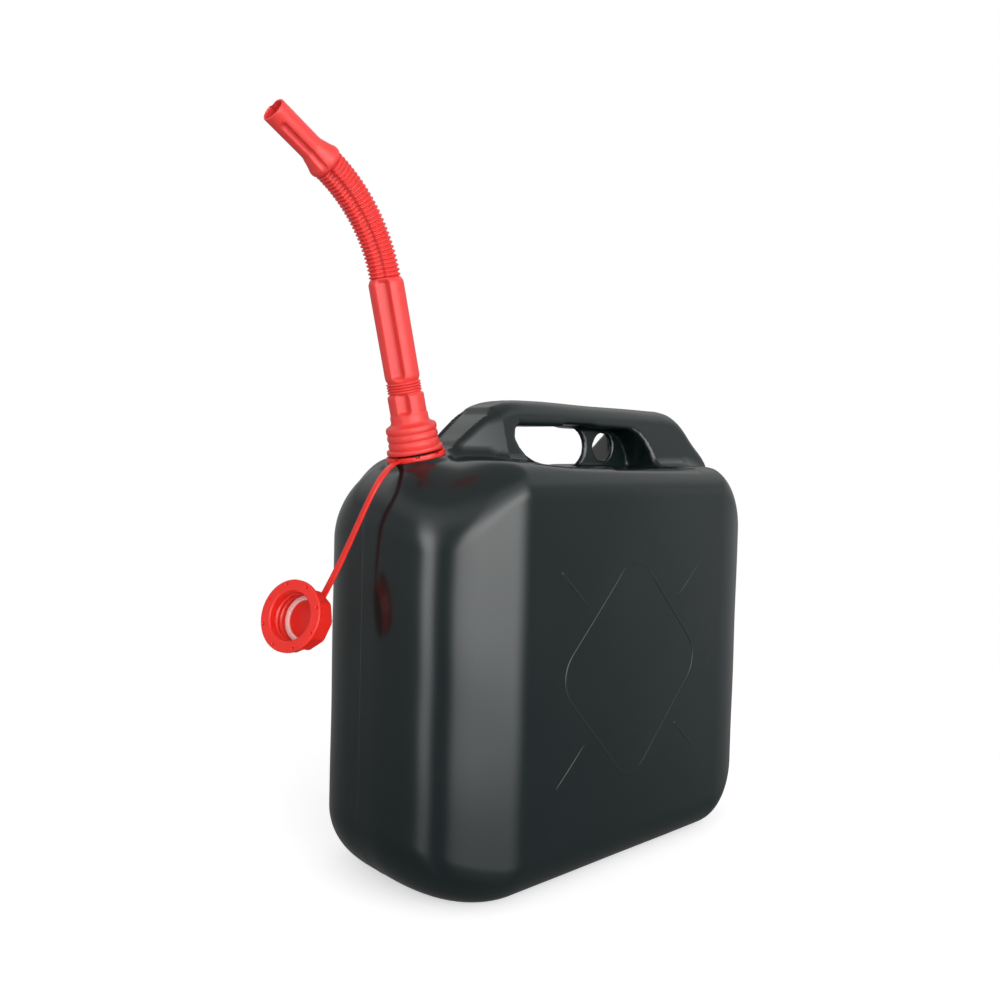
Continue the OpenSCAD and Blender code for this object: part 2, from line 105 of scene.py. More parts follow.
def flowing(corners, steps):
    """An open curve through the corners: cubics whose slope at each corner is that between its
    neighbours, over the distance walked."""
    p = np.array(corners, float)
    walked = np.concatenate([[0], np.cumsum(np.hypot(*np.diff(p, axis=0).T))])
    slope = np.gradient(p, walked, axis=0)
    gap = np.diff(walked)[:, None, None]
    t = (np.arange(steps) / steps)[None, :, None]
    a, b, sa, sb = p[:-1, None], p[1:, None], slope[:-1, None] * gap, slope[1:, None] * gap
    side = (a * (2 * t ** 3 - 3 * t ** 2 + 1) + sa * (t ** 3 - 2 * t ** 2 + t)
            + b * (3 * t ** 2 - 2 * t ** 3) + sb * (t ** 3 - t ** 2))
    return np.vstack([side.reshape(-1, p.shape[1]), p[-1:]])


def to_outline(outline, x, z):
    """Distance from (x, z) to a closed outline, negative inside: the least distance to any side, its
    sign by how many sides lie to the right."""
    near = np.full(x.shape, 1e9)
    inside = np.zeros(x.shape, bool)
    for (x0, z0), (x1, z1) in zip(outline, np.roll(outline, -1, 0)):
        dx, dz = x1 - x0, z1 - z0
        t = np.clip(((x - x0) * dx + (z - z0) * dz) / (dx * dx + dz * dz + 1e-12), 0, 1)
        near = np.minimum(near, (x - x0 - t * dx) ** 2 + (z - z0 - t * dz) ** 2)
        inside ^= ((z0 > z) != (z1 > z)) & (x < x0 + (z - z0) * dx / (dz if dz else 1e-9))
    return np.where(inside, -1, 1) * np.sqrt(near)


def joined(a, b, r):
    """Both solids, with a fillet of radius r where they meet."""
    return np.maximum(r, np.minimum(a, b)) - np.hypot(np.maximum(r - a, 0), np.maximum(r - b, 0))


def common(a, b, r):
    """What the two solids share, with the meeting edge rounded to radius r."""
    return np.minimum(-r, np.maximum(a, b)) + np.hypot(np.maximum(r + a, 0), np.maximum(r + b, 0))


def ease(a, b, t):
    """0 up to a, 1 from b, and a smooth step between."""
    t = np.clip((t - a) / (b - a), 0, 1)
    return t * t * (3 - 2 * t)


ridge_outline = np.vstack([flowing(RIDGE, 4), FIN_ROOT])
opening_outline = np.array(OPENING)
near_outline, far_outline = np.array(NEAR_POCKET, float), np.array(FAR_POCKET, float)
trough_outline = np.array(TROUGH, float)


def flat_fields(x, z):
    """The can's side-view distances: handle, opening, near pocket, far pocket and trough."""
    return [to_outline(o, x, z) for o in (ridge_outline, opening_outline, near_outline, far_outline,
                                          trough_outline)]


def body_field(x, y, z):
    """Distance to the blown body: an upright rounded slab, whose edge radius at the top and base
    turns from the end's to the wide face's round each corner."""
    qx, qy = np.abs(x) - (WIDTH / 2 - CORNER), np.abs(y) - (DEPTH / 2 - CORNER)
    px, py = np.maximum(qx, 0), np.maximum(qy, 0)
    wall = np.hypot(px, py) + np.minimum(np.maximum(qx, qy), 0) - CORNER
    share = px ** 2 / (px ** 2 + py ** 2 + 1e-3)
    corner = 4 * share * (1 - share)
    top = TOP_SIDE + (TOP_END - TOP_SIDE) * (1 - (1 - share) ** 3) + TOP_BULGE * corner
    foot = FOOT_SIDE + (FOOT_END - FOOT_SIDE) * share + FOOT_BULGE * corner * ease(0, 60, x)
    r = np.where(z > HEIGHT / 2, top, foot)
    level = np.where(z > HEIGHT / 2, z - HEIGHT, -z)
    u, v = wall + r, level + r
    return np.hypot(np.maximum(u, 0), np.maximum(v, 0)) + np.minimum(np.maximum(u, v), 0) - r


def can_field(x, y, z, flat):
    """Distance to the whole can, where flat holds the side-view distances at (x, z). The body less its
    trough is joined with the handle, whose sides lean out downwards. Then the ring's space is taken
    away and the neck's boss joined on, and last come off the opening, the pockets on both sides of the
    web, the web's hole, the hollow and the bore. A slow wave of under 0.2 mm is the wall's unevenness."""
    ridge, opening, near, far, trough = flat
    body = body_field(x, y, z)
    solid = common(body, -trough, 4.0)
    half = np.interp(x, FIN_AT, FIN_SHARE) * (GRIP_HALF + (GRIP_TOP - z) * GRIP_DRAFT)
    fin = common((np.abs(y) - half) * GRIP_SIDE, ridge, 9 - 4 * ease(-68, -82, x))
    panel = (ease(PANEL_LOW, PANEL_LOW + 4.5, x) * ease(PANEL_HIGH, PANEL_HIGH - 4.0, x)
             * ease(-2.6, -5.2, np.abs(y) - half))
    solid = joined(solid, fin + PANEL_DEEP * panel, 9.0)
    across = (x - NECK_AT[0]) * math.cos(NECK_TILT) + (z - NECK_AT[2]) * math.sin(NECK_TILT)
    along = -(x - NECK_AT[0]) * math.sin(NECK_TILT) + (z - NECK_AT[2]) * math.cos(NECK_TILT)
    away = np.hypot(across, y)
    ring_space = np.maximum(np.maximum(away - RING_ROOM, -2.4 - along), along - 12)
    solid = common(solid, -ring_space, 1.2)
    boss = np.maximum(common(away - BOSS_R, along - BOSS_TOP, 1.5), -24 - along)
    solid = joined(solid, boss, 5.0)
    hole = np.hypot(x - WEB_HOLE[0], z - WEB_HOLE[1]) - WEB_HOLE[2]
    solid = common(solid, -common(opening, np.abs(y) - 60, 0.5), 4.5)
    solid = common(solid, -common(near, y + WEB_HALF, 1.5), 3.6)
    solid = common(solid, -common(far, WEB_HALF - y, 1.5), 3.6)
    solid = common(solid, -np.maximum(hole, np.abs(y) - 8), 1.2)
    from_middle = np.sqrt((x - HOLLOW_AT[0]) ** 2 + y ** 2 + (z - HOLLOW_AT[1]) ** 2)
    hollow = np.maximum(body + CAN_WALL, from_middle - HOLLOW_R)
    bore = np.maximum(away - NECK_BORE - 0.5, -30 - along)
    wave = (np.sin(x / 17 + 1.3) * np.sin(z / 23 + 0.4)
            + np.sin(z / 13 - y / 19 + 2.1) * np.sin(x / 29)) * 0.09
    return np.maximum(solid + wave, -np.minimum(hollow, bore))


def level_skin(field, low, cell):
    """Quads on the field's zero level: a point in each crossed cell, at the mean of the crossings on
    its edges, and a quad round each crossed edge, facing out."""
    n = np.array(field.shape)
    total, count = np.zeros((*(n - 1), 3)), np.zeros(n - 1)
    inside = field < 0
    crossings = []
    for axis in range(3):
        first = tuple(slice(0, -1) if q == axis else slice(None) for q in range(3))
        second = tuple(slice(1, None) if q == axis else slice(None) for q in range(3))
        crossed = inside[first] != inside[second]
        i, j, k = np.nonzero(crossed)
        where = np.stack([i, j, k], 1)
        a, b = field[first][crossed], field[second][crossed]
        point = where.astype(float)
        point[:, axis] += a / (a - b)
        o1, o2 = [q for q in range(3) if q != axis]
        for s1 in (0, 1):
            for s2 in (0, 1):
                cellid = where.copy()
                cellid[:, o1] -= s1
                cellid[:, o2] -= s2
                np.add.at(total, tuple(cellid.T), point)
                np.add.at(count, tuple(cellid.T), 1)
        crossings.append((axis, o1, o2, where, inside[first][crossed]))
    used = count > 0
    number = np.cumsum(used.ravel()).reshape(used.shape) - 1
    points = total[used] / count[used][:, None] * cell + low
    quads = []
    for axis, o1, o2, where, rising in crossings:
        around = []
        for s1, s2 in ((0, 0), (1, 0), (1, 1), (0, 1)):
            cellid = where.copy()
            cellid[:, o1] -= s1
            cellid[:, o2] -= s2
            around.append(number[tuple(cellid.T)])
        quad = np.stack(around, 1)
        outward = rising if axis != 1 else ~rising
        quads.append(np.where(outward[:, None], quad, quad[:, ::-1]))
    return points, np.concatenate(quads)


def settle(points, field_at, rounds=3):
    """Moves points straight on to the zero level, by the field over its slope, and gives the slope's
    direction there. The slope is the field's change over a short step e each way."""
    p, e = points.copy(), 0.08
    for turn in range(rounds + 1):
        slope = np.stack([(field_at(p + e * d) - field_at(p - e * d)) / (2 * e) for d in np.eye(3)], 1)
        size = np.sqrt((slope ** 2).sum(1)) + 1e-9
        if turn == rounds:
            return p, slope / size[:, None]
        move = np.clip(field_at(p) / size, -0.6, 0.6)
        p -= slope / size[:, None] * move[:, None]


def can_at(p):
    """The can's field at a list of points."""
    x, y, z = p.T
    return can_field(x, y, z, flat_fields(x, z))


def put_mesh(name, points, faces, smooth=True):
    """A mesh object from points in millimetres and a list of faces."""
    mesh = bpy.data.meshes.new(name)
    mesh.from_pydata((np.asarray(points) * MM).tolist(), [], faces)
    mesh.polygons.foreach_set("use_smooth", np.full(len(mesh.polygons), smooth))
    mesh.update()
    obj = bpy.data.objects.new(name, mesh)
    bpy.context.scene.collection.objects.link(obj)
    return obj


# The can's skin, from its field on a regular grid.
low = np.array([-WIDTH / 2 - 2 * CELL, -DEPTH / 2 - 2 * CELL, -2 * CELL])
steps = np.ceil((np.array([WIDTH, DEPTH, GRIP_TOP]) + 4 * CELL) / CELL).astype(int) + 1
xs, ys, zs = (low[i] + CELL * np.arange(steps[i]) for i in range(3))
side_x, side_z = np.meshgrid(xs, zs, indexing="ij")
side = [f[:, None, :] for f in flat_fields(side_x, side_z)]
field = can_field(xs[:, None, None], ys[None, :, None], zs[None, None, :], side)
points, quads = level_skin(field, low, CELL)
points, normals = settle(points, can_at)


def from_neck(p):
    """Points given about the leaning neck's axis, turned by its tilt and moved to its foot."""
    c, s = math.cos(NECK_TILT), math.sin(NECK_TILT)
    x, y, z = p[..., 0], p[..., 1], p[..., 2]
    return NECK_AT + np.stack([x * c - z * s, y, x * s + z * c], -1)


def loop_faces(rows, cols, closed, first=0):
    """Quads over a grid whose columns run round, with a face over each end unless its rows run round
    too."""
    i, j = np.meshgrid(np.arange(rows if closed else rows - 1), np.arange(cols), indexing="ij")
    i2, j2 = (i + 1) % rows, (j + 1) % cols
    quads = np.stack([i * cols + j, i * cols + j2, i2 * cols + j2, i2 * cols + j], -1).reshape(-1, 4) + first
    if closed:
        return quads.tolist()
    start_cap = list(range(first + cols - 1, first - 1, -1))
    end_cap = list(range(first + (rows - 1) * cols, first + rows * cols))
    return quads.tolist() + [start_cap, end_cap]


def turned(profile, cols=96, shape=None):
    """Points of a profile of (radius, height) pairs turned about Z. shape(turn, r, z) may change the
    radius and height round the turn."""
    r, z = np.array(profile, float).T
    turn = np.arange(cols) * 2 * math.pi / cols
    r, z, turn = r[:, None] + 0 * turn, z[:, None] + 0 * turn, turn[None, :] + 0 * r[:, None]
    if shape:
        r, z = shape(turn, r, z)
    return np.stack([r * np.cos(turn), r * np.sin(turn), z], -1)


def shells(name, parts):
    """One object from several closed grids of (points, closed)."""
    points, faces = [], []
    for grid, closed in parts:
        faces += loop_faces(grid.shape[0], grid.shape[1], closed, sum(len(p) for p in points))
        points.append(grid.reshape(-1, 3))
    return put_mesh(name, np.concatenate(points), faces)


def thread(turn, r, z):
    """The neck's thread: a rounded rib that climbs by the pitch each turn, between two heights."""
    rise = (z / THREAD_PITCH - turn / (2 * math.pi)) % 1.0
    rib = np.clip(1.6 * (0.5 + 0.5 * np.cos(2 * math.pi * (rise - 0.5))) - 0.6, 0, 1)
    on = ease(4.2, 5.4, z) * ease(14.8, 13.6, z) * (r > 12.6)
    return r + THREAD_RISE * rib * on, z


def bead(path, closed, half_wide, rise):
    """A raised line on the can: a flat oval carried along points settled on the surface, standing in
    the plane of the path's normal."""
    middle, out = settle(path, can_at, 8)
    ahead = np.roll(middle, -1, 0) - np.roll(middle, 1, 0) if closed else np.gradient(middle, axis=0)
    ahead /= np.linalg.norm(ahead, axis=1)[:, None]
    across = np.cross(out, ahead)
    turn = np.arange(10) * 2 * math.pi / 10
    return (middle[:, None] + across[:, None] * (half_wide * np.cos(turn))[None, :, None]
            + out[:, None] * (np.reshape(rise, (-1, 1)) * np.sin(turn))[:, :, None])


def face_lines(side):
    """The pressed lines of one wide face, at y of that sign: a diamond with round corners, a little
    taller than wide, and four short arms towards the face's corners. The diamond's reach at each turn
    is that of a corner circle or of the straight side, and its rise fades round the turn."""
    turn = np.arange(240) * 2 * math.pi / 240
    part = (turn + math.pi / 4) % (math.pi / 2) - math.pi / 4
    root = np.sqrt(np.maximum(DIAMOND_R ** 2 - (DIAMOND_REACH * np.sin(part)) ** 2, 0))
    rounded_reach = DIAMOND_REACH * np.cos(part) + root
    flat_at = (DIAMOND_REACH + DIAMOND_R * math.sqrt(2)) / math.sqrt(2)
    straight_reach = flat_at / np.cos(math.pi / 4 - np.abs(part))
    meet = math.atan2(DIAMOND_R / math.sqrt(2), DIAMOND_REACH + DIAMOND_R / math.sqrt(2))
    reach = np.where(np.abs(part) < meet, rounded_reach, straight_reach)
    y = np.full(240, side * DEPTH / 2)
    crisp = 0.1 + 0.26 * ease(-0.35, 0.2, np.sin(turn)) * (1 - ease(0.93, 0.985, np.sin(turn)))
    diamond = np.stack([reach * np.cos(turn), y, FACE_MIDDLE + DIAMOND_TALL * reach * np.sin(turn)], 1)
    lines = [(bead(diamond, True, LINE_HALF, crisp), True)]
    share = np.linspace(ARM_FROM, 1, 24)
    swell = 0.06 + 0.22 * np.sin(math.pi * (share - ARM_FROM) / 0.36)
    for sx in (-1, 1):
        for sz in (-1, 1):
            arm = np.stack([sx * ARM_X * share, y[:24], FACE_MIDDLE + sz * ARM_Z * share], 1)
            lines.append((bead(arm, False, LINE_HALF, swell), False))
    return lines


def arc(x, z, r, start, end):
    """Points of an arc in the side view, about (x, z), between two angles in degrees."""
    turn = np.radians(np.linspace(start, end, 40))
    return np.stack([x + r * np.cos(turn), z + r * np.sin(turn)], 1)


def seam_path():
    """The mould's closing line on the mid-plane: up the near end to the neck, and up the far end and
    over the handle to the start of its neck slope."""
    end, top = WIDTH / 2, HEIGHT
    rise = np.linspace(FOOT_END + 3, top - TOP_END - 3, 60)
    near = np.vstack([arc(-end + FOOT_END, FOOT_END, FOOT_END, 250, 180), np.stack([0 * rise - end, rise], 1),
                      arc(-end + TOP_END, top - TOP_END, TOP_END, 180, 122)])
    ridge = flowing(RIDGE[::-1], 5)
    ridge = ridge[(ridge[:, 0] < 150) & (ridge[:, 0] > -62)]
    far = np.vstack([arc(end - FOOT_END, FOOT_END, FOOT_END, -70, 0), np.stack([0 * rise + end, rise], 1),
                     arc(end - TOP_END, top - TOP_END, TOP_END, 0, 25), ridge])
    return [np.stack([p[:, 0], 0 * p[:, 0], p[:, 1]], 1) for p in (near, far)]


# The can's mesh: the skin, the neck as a closed tube, and the beads. The skin's shading follows the
# field's own slope, and the rest keeps the normals of its vertices.
neck_profile = [(NECK_BORE, NECK_ROOT), (NECK_BORE, 16.1), (11.2, NECK_TOP), (12.8, NECK_TOP), (NECK_R, 16.1)]
neck_profile += [(NECK_R, h) for h in np.linspace(15.6, 3.6, 61)]
neck_profile += [(NECK_R, 2.6), (13.8, 2.2), (13.8, -3.2), (NECK_R, -3.6), (NECK_R, NECK_ROOT)]
extras = [(from_neck(turned(neck_profile, 160, thread))[::-1], True)]
extras += face_lines(-1) + face_lines(1)
extras += [(bead(path, False, SEAM_HALF, SEAM_RISE), False) for path in seam_path()]
faces, count = quads.tolist(), len(points)
for grid, closed in extras:
    faces += loop_faces(grid.shape[0], grid.shape[1], closed, count)
    count += grid.shape[0] * grid.shape[1]
can = put_mesh("can", np.concatenate([points] + [grid.reshape(-1, 3) for grid, closed in extras]), faces)
facing = np.empty(count * 3)
can.data.vertex_normals.foreach_get("vector", facing)
facing = facing.reshape(-1, 3)
facing[:len(points)] = normals
can.data.normals_split_custom_set_from_vertices(facing.tolist())


def procedural(name, colour, rough, grain=0.0, grain_size=400.0, mottle=0.06, coat=0.0, through=0.0,
               through_colour=None):
    """A plastic: its colour drifts by mottle over a few centimetres, its gloss by a little, and a fine
    bump of height grain stands for the mould's blasted face. through is light let in under the skin."""
    material = bpy.data.materials.new(name)
    material.use_nodes = True
    nodes, links = material.node_tree.nodes, material.node_tree.links
    shader = nodes["Principled BSDF"]
    place = nodes.new("ShaderNodeTexCoord")
    cloud = nodes.new("ShaderNodeTexNoise")
    cloud.inputs["Scale"].default_value = 22
    cloud.inputs["Detail"].default_value = 3
    links.new(place.outputs["Object"], cloud.inputs["Vector"])
    tone = nodes.new("ShaderNodeValToRGB")
    tone.color_ramp.elements[0].position, tone.color_ramp.elements[1].position = 0.3, 0.7
    for stop, gain in zip(tone.color_ramp.elements, (1 - mottle, 1 + mottle)):
        stop.color = (*[min(1, c * gain) for c in colour], 1)
    links.new(cloud.outputs["Fac"], tone.inputs["Fac"])
    links.new(tone.outputs["Color"], shader.inputs["Base Color"])
    gloss = nodes.new("ShaderNodeMapRange")
    gloss.inputs["To Min"].default_value, gloss.inputs["To Max"].default_value = rough * 0.93, rough * 1.07
    links.new(cloud.outputs["Fac"], gloss.inputs["Value"])
    links.new(gloss.outputs["Result"], shader.inputs["Roughness"])
    if grain:
        fine = nodes.new("ShaderNodeTexNoise")
        fine.inputs["Scale"].default_value = grain_size
        fine.inputs["Detail"].default_value = 2
        bump = nodes.new("ShaderNodeBump")
        bump.inputs["Strength"].default_value = 0.35
        bump.inputs["Distance"].default_value = grain
        links.new(place.outputs["Object"], fine.inputs["Vector"])
        links.new(fine.outputs["Fac"], bump.inputs["Height"])
        links.new(bump.outputs["Normal"], shader.inputs["Normal"])
    shader.inputs["Coat Weight"].default_value = coat
    if through:
        shader.inputs["Subsurface Weight"].default_value = through
        shader.inputs["Subsurface Radius"].default_value = through_colour
        shader.inputs["Subsurface Scale"].default_value = 0.004
    return material


dark_plastic = procedural("can_polyethylene", (0.0060, 0.0106, 0.0110), 0.19, grain=0.00002, grain_size=700,
                          mottle=0.05)
can.data.materials.append(dark_plastic)
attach(can, "can")
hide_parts("can_body")


# The spout: one thin blow moulding in light red polyethylene. A socket with three fat thread
# rounds screws on the neck, then come a plain collar, a fluted tube broken by a short bellows, the
# long bellows that stays where it is bent, and the fluted tip.

BEND_TURN, FLUTE_TURN, BEND = math.radians(7), math.radians(220.5), math.radians(47.5)
TUBE_TOP, BELLOWS_LONG = 108.0, 73      # heights and lengths walked along the spout from its socket
BEND_R = BELLOWS_LONG / BEND
TIP_START = TUBE_TOP + BELLOWS_LONG
SPOUT_BORE = 6.85
SOCKET_ROUNDS, SOCKET_PITCH = 3, 4.6
SHORT_FOLDS, SHORT_PITCH = 4, 1.65
FOLDS, FOLD_ROWS, FOLD_ROOT, FOLD_DEEP = 29, 10, 8.15, 1.45


def from_spout(p):
    """Points in the spout's own frame, whose bend leans towards -X, carried to their place."""
    c, s = math.cos(BEND_TURN), math.sin(BEND_TURN)
    x, y = p[..., 0], p[..., 1]
    return from_neck(np.stack([x * c - y * s, x * s + y * c, p[..., 2]], -1))


def bent(p):
    """Points whose Z is the length walked along the spout: past the tube's top the axis turns in an
    arc towards -X, and goes on straight after it."""
    x, y, z = p[..., 0], p[..., 1], p[..., 2]
    on = np.clip(z - TUBE_TOP, 0, BEND * BEND_R) / BEND_R
    past = np.maximum(z - TUBE_TOP - BEND * BEND_R, 0)
    straight = np.minimum(z, TUBE_TOP)
    c, s = np.cos(on), np.sin(on)
    sideways = -BEND_R * (1 - c) + x * c - past * s
    upwards = straight + BEND_R * s + x * s + past * c
    return from_spout(np.stack([sideways, y, upwards], -1))


def flute(turn, r, centre, rod, soft=0.5, steep=1.7):
    """The radius of a round of radius r with a flute on two sides: where the ray at each turn meets a
    rod that stands at distance centre, or r where it doesn't, with a soft edge between. One wall of
    the flute is steeper than the other."""
    off = (turn - FLUTE_TURN + math.pi / 2) % math.pi - math.pi / 2
    side = centre * np.sin(off) * np.where(off > 0, steep, 1)
    on_rod = centre * np.cos(off) - np.sqrt(np.maximum(rod ** 2 - side ** 2, 0))
    past_rod = centre * np.cos(off) + (np.abs(side) - rod) * 2
    cut = np.where(np.abs(side) < rod, on_rod, past_rod)
    h = np.clip(0.5 + 0.5 * (cut - r) / soft, 0, 1)
    return cut * (1 - h) + r * h - soft * h * (1 - h)


def tube_shape(turn, r, z):
    """The flutes of the short and the long tube: deep along their length, running out over a few
    millimetres at each end."""
    short, long = ease(25.6, 28.6, z) * ease(39.2, 38.2, z), ease(46.6, 50.0, z) * ease(108.2, 105.5, z)
    depth = np.maximum(short, long) * (r > 10)
    return np.where(depth > 0, flute(turn, r, r + 3.8 + 3.9 * (1 - depth), 7.5), r), z


def fold_shape(turn, r, z):
    """The flutes run on through the long bellows, shallower, and flatten every fold there."""
    off = (turn - FLUTE_TURN + math.pi / 2) % math.pi - math.pi / 2
    calm = 0.75 * np.exp(-(off / 0.24) ** 2)
    r = r * (1 - calm) + np.where(r > 8.05, 8.9, 7.3) * calm
    return flute(turn, r, r + 2.2, 4.2, 0.8), z


# Profiles are (radius, height) up the outside and down the inside.
half_round = np.linspace(-0.94, 0.94, 9)
socket = [(14.2, 2.8), (16.9, 2.8), (17.4, 3.2), (17.4, 5.0), (17.0, 5.5), (15.6, 5.8)]
for k in range(SOCKET_ROUNDS):
    at = 5.6 + (k + 0.5) * SOCKET_PITCH
    socket += [(14.6 + 1.15 * math.sqrt(1 - u * u * 0.97), at + SOCKET_PITCH / 2 * u) for u in half_round]
socket += [(14.5, 19.3), (13.9, 19.9), (12.9, 20.4), (12.2, 21), (11.8, 21.8), (11.7, 23), (11.7, 25.2),
           (11.5, 25.9), (11.2, 26.3)]
socket += [(11.2, h) for h in np.linspace(26.8, 37.4, 22)] + [(10.9, 38.0), (9.3, 39.2)]
for k in range(SHORT_FOLDS):
    at = 39.3 + (k + 0.5) * SHORT_PITCH
    socket += [(9.3 + 1.3 * math.cos(a) ** 1.4, at + 0.82 * math.sin(a)) for a in np.linspace(-1.5, 1.5, 7)]
socket += [(9.4, 46.0), (10.0, 47.0), (10.5, 48.4)] + [(10.6, h) for h in np.linspace(49.2, 104.4, 60)]
socket += [(10.55, 105.0), (10.2, 106.0), (9.6, 107.2), (9.0, TUBE_TOP), (SPOUT_BORE, TUBE_TOP),
           (SPOUT_BORE, 60), (SPOUT_BORE, 20), (8, 17.6), (12, 16.8), (14.2, 16.4), (14.2, 9)]
spout_base = shells("spout_socket", [(from_spout(turned(socket, 128, tube_shape)), True)])

walk = np.linspace(0, BELLOWS_LONG, FOLDS * FOLD_ROWS + 1)
ripple = (0.5 - 0.5 * np.cos(2 * math.pi * FOLDS * walk / BELLOWS_LONG)) ** 0.75
fold_outside = list(zip(FOLD_ROOT + FOLD_DEEP * ripple, TUBE_TOP + walk))
inner_walk = np.linspace(BELLOWS_LONG, 0, FOLDS * 4 + 1)
inner_ripple = 0.5 - 0.5 * np.cos(2 * math.pi * FOLDS * inner_walk / BELLOWS_LONG)
fold_inside = list(zip(6.75 + 1.2 * inner_ripple, TUBE_TOP + inner_walk))
bellows = shells("spout_folds", [(bent(turned(fold_outside + fold_inside, 96, fold_shape)), True)])


def tip_shape(turn, r, z):
    """The tip's two flutes, and the pinch of its mouth: the flutes deepen towards the mouth, the near
    one stopping short of it."""
    h = z - TIP_START
    near = np.cos(turn - FLUTE_TURN) > 0
    depth = ease(1.0, 5.0, h) * np.where(near, ease(37.5, 34.0, h), 1)
    inner = (r < 6.2) & (h > 10)
    centre = r + 1.4 + np.where(inner, 1.0, 0) + 3.0 * (1 - depth)
    return np.where(depth > 0, flute(turn, r, centre, 3.1, 0.7), r), z


tip = [(SPOUT_BORE, 0), (8.2, 0), (9.4, 0.6), (10.05, 1.5), (10.25, 2.3), (10.2, 3.6), (9.9, 4.6), (9.3, 6),
       (8.8, 7.6), (8.4, 9), (7.95, 10.6), (7.5, 12), (7.25, 13.2)]
tip += [(7.2, h) for h in np.linspace(14, 41.2, 34)]
tip += [(7.1, 41.7), (6.8, 42), (6.3, 42), (6.0, 41.7), (5.9, 41.2)]
tip += [(5.9, h) for h in np.linspace(40.5, 13, 22)] + [(6.6, 10), (7.8, 6), (8.0, 3)]
tip = [(r, TIP_START + h) for r, h in tip]
spout_tip = shells("spout_tip_tube", [(bent(turned(tip, 128, tip_shape)), True)])

light_red = procedural("spout_polyethylene", (0.72, 0.040, 0.035), 0.40, grain=0.00003, grain_size=900,
                       mottle=0.05, through=0.15, through_colour=(1.0, 0.25, 0.15))
for piece in (spout_base, bellows, spout_tip):
    piece.data.materials.append(light_red)
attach(spout_base, "spout")
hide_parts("spout_base")
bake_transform(bellows)
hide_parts("spout_bellows")
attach(spout_tip, "tip")
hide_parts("spout_tip")

# The tether: ring, strap and eye, one red injection moulding. The ring lies loose round the neck
# under the socket's flange, notched on top, and the eye turns on the button of the cap's back.

CAP_AT = np.array([-188.2, 14.3, 168.5])
CAP_LEAN, CAP_SWING = math.radians(74.2), math.radians(19.1)
OPEN_WAY = np.array([-math.sin(CAP_LEAN) * math.cos(CAP_SWING), -math.sin(CAP_LEAN) * math.sin(CAP_SWING),
                     math.cos(CAP_LEAN)])
RING_IN, RING_OUT, RING_HALF = 14.2, 18.3, 1.6
EYE_IN, EYE_OUT, EYE_LOW, EYE_HIGH = 3.15, 5.55, -1.95, -0.35
STRAP_HALF, STRAP_THICK = 2.2, 0.85       # half its width and half its thickness
STRAP_LEAVES = math.radians(15)
STRAP_OUT, STRAP_UP = np.array([-0.814, -0.572, -0.096]), np.array([0.403, -0.277, 0.873])


def from_cap(p):
    """Points about the cap's axis, its open end at +Z, leaned and swung and moved to where it hangs."""
    c, s = math.cos(CAP_LEAN), math.sin(CAP_LEAN)
    x, y, z = p[..., 0], p[..., 1], p[..., 2]
    x, z = x * c - z * s, x * s + z * c
    c, s = math.cos(CAP_SWING), math.sin(CAP_SWING)
    return CAP_AT + np.stack([x * c - y * s, x * s + y * c, z], -1)


def notches(turn, r, z):
    """Eight notches across the top of the ring, 0.9 mm deep, each with short sloping sides."""
    off = np.abs((turn - math.radians(10) + math.pi / 8) % (math.pi / 4) - math.pi / 8) * 16
    return r, np.where(z > 0, z - 0.9 * ease(1.5, 1.05, off), z)


def rounded(r0, r1, z0, z1, e, n=4):
    """Profile of a ring of rectangular section with its edges rounded to e: a quarter turn of n points
    about each corner's centre."""
    turn = np.radians(np.linspace(0, 90, n))
    section = []
    for (cr, cz), start in (((r1 - e, z0 + e), -90), ((r1 - e, z1 - e), 0),
                            ((r0 + e, z1 - e), 90), ((r0 + e, z0 + e), 180)):
        way = turn + math.radians(start)
        section += [(cr + e * math.cos(a), cz + e * math.sin(a)) for a in way]
    return section


def cubic(pulls, t):
    """Points of the cubic with four pulls, at shares t of its run."""
    return ((1 - t) ** 3 * pulls[0] + 3 * (1 - t) ** 2 * t * pulls[1] + 3 * (1 - t) * t ** 2 * pulls[2]
            + t ** 3 * pulls[3])


ring = from_neck(turned(rounded(RING_IN, RING_OUT, -RING_HALF, RING_HALF, 0.35), 256, notches))
ring_way = np.array([-math.cos(STRAP_LEAVES) * math.cos(NECK_TILT), -math.sin(STRAP_LEAVES),
                     -math.cos(STRAP_LEAVES) * math.sin(NECK_TILT)])
strap_from = NECK_AT + ring_way * (RING_OUT - 1.2)
strap_to = CAP_AT - OPEN_WAY * 1.15 + STRAP_UP * 4.15
share = np.linspace(0, 1, 90)[:, None]
pulls = [strap_from, strap_from + 48.3 * STRAP_OUT, strap_to + 55.2 * STRAP_UP, strap_to]
middle = cubic(pulls, share)
along = np.gradient(middle, axis=0)
along /= np.linalg.norm(along, axis=1)[:, None]
wide = np.cross((1 - share) * NECK_WAY + share * OPEN_WAY, along)
wide /= np.linalg.norm(wide, axis=1)[:, None]
thick = np.cross(along, wide)
turn = np.arange(24) * 2 * math.pi / 24
oblong_wide = np.sign(np.cos(turn)) * np.abs(np.cos(turn)) ** 0.45
oblong_thick = np.sign(np.sin(turn)) * np.abs(np.sin(turn)) ** 0.6
width = STRAP_HALF + 0.7 * ease(0.05, 0, share) + 0.5 * ease(0.95, 1, share)
strap = (middle[:, None] + wide[:, None] * (oblong_wide[None, :, None] * width[:, None])
         + thick[:, None] * oblong_thick[None, :, None] * STRAP_THICK)
eye = from_cap(turned(rounded(EYE_IN, EYE_OUT, EYE_LOW, EYE_HIGH, 0.3), 64))
tether = shells("tether_strap", [(ring, True), (strap, False), (eye, True)])
full_red = procedural("cap_polyethylene", (0.74, 0.020, 0.013), 0.33, grain=0.00003, grain_size=800,
                      mottle=0.05, through=0.15, through_colour=(1.0, 0.15, 0.08))
tether.data.materials.append(full_red)
